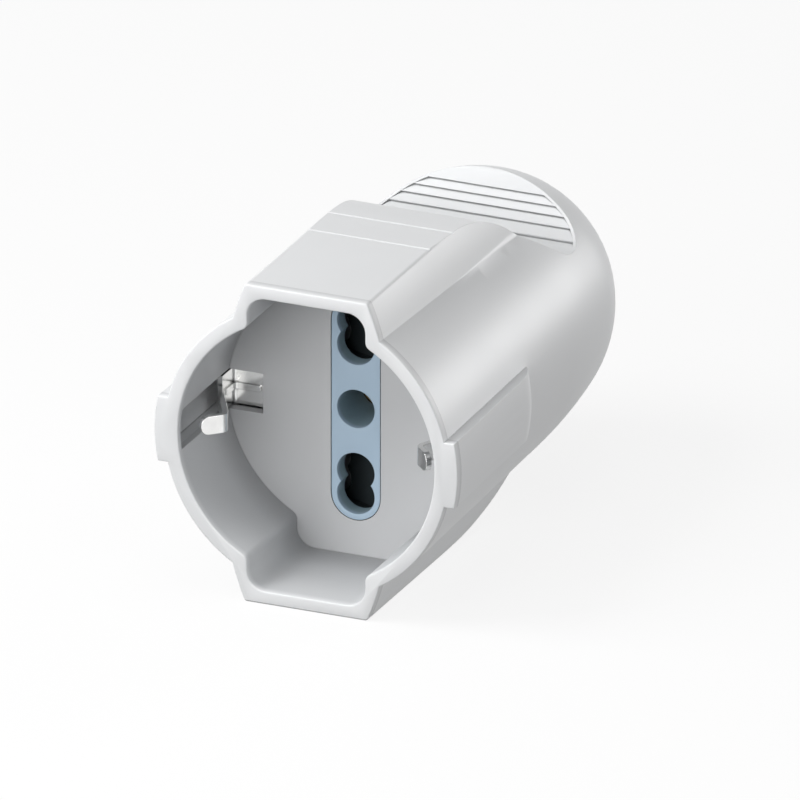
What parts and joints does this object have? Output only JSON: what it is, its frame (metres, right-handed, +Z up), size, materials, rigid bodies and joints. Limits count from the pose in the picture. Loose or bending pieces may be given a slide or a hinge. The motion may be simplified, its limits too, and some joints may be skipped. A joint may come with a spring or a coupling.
{
  "type": "cable socket",
  "caption": "In-line mains socket for a cable end: deep round recess with keyways, row of pin holes, side earth clips, ribbed finger hollows and an axial cable outlet.",
  "frame": {"origin": "on the socket's axis, in the plane of the front rim", "axes": "+Y runs back along the body to the cable outlet, +Z is up along the row of pin holes, +X is to the right seen from the front"},
  "size_m": [0.0462, 0.0747, 0.0478],
  "materials": {
    "white_plastic": "satin",
    "blue_grey_plastic": "satin",
    "black_plastic": "matte",
    "grey_plastic": "matte",
    "brass": "bright",
    "nickel": "nickel plated",
    "steel": "zinc plated"
  },
  "bodies": {
    "housing": {"front_body": "white_plastic", "handle_shell": "white_plastic", "hole_plate": "blue_grey_plastic", "middle_sleeve": "blue_grey_plastic", "shutter_spring": "steel", "contact_carrier": "grey_plastic", "line_contact": "brass", "neutral_contact": "brass", "earth_contact": "brass", "earth_strip": "nickel", "terminal_screw_line": "steel", "terminal_screw_neutral": "steel", "terminal_screw_earth": "steel", "pressure_plate_line": "steel", "pressure_plate_neutral": "steel", "pressure_plate_earth": "steel", "carrier_screw_left": "steel", "carrier_screw_right": "steel", "cable_clamp": "grey_plastic", "clamp_screw_left": "steel", "clamp_screw_right": "steel", "shell_screw": "steel"},
    "shutter": {"shutter": "black_plastic"}
  },
  "joints": [
    {"name": "shutter_slide", "type": "slide", "parent": "housing", "child": "shutter", "axis": [1, 0, 0], "range_m": [0, 0.006], "stiffness_N_per_m": 100, "springref_m": -0.003, "deforming": ["shutter_spring"]}
  ]
}
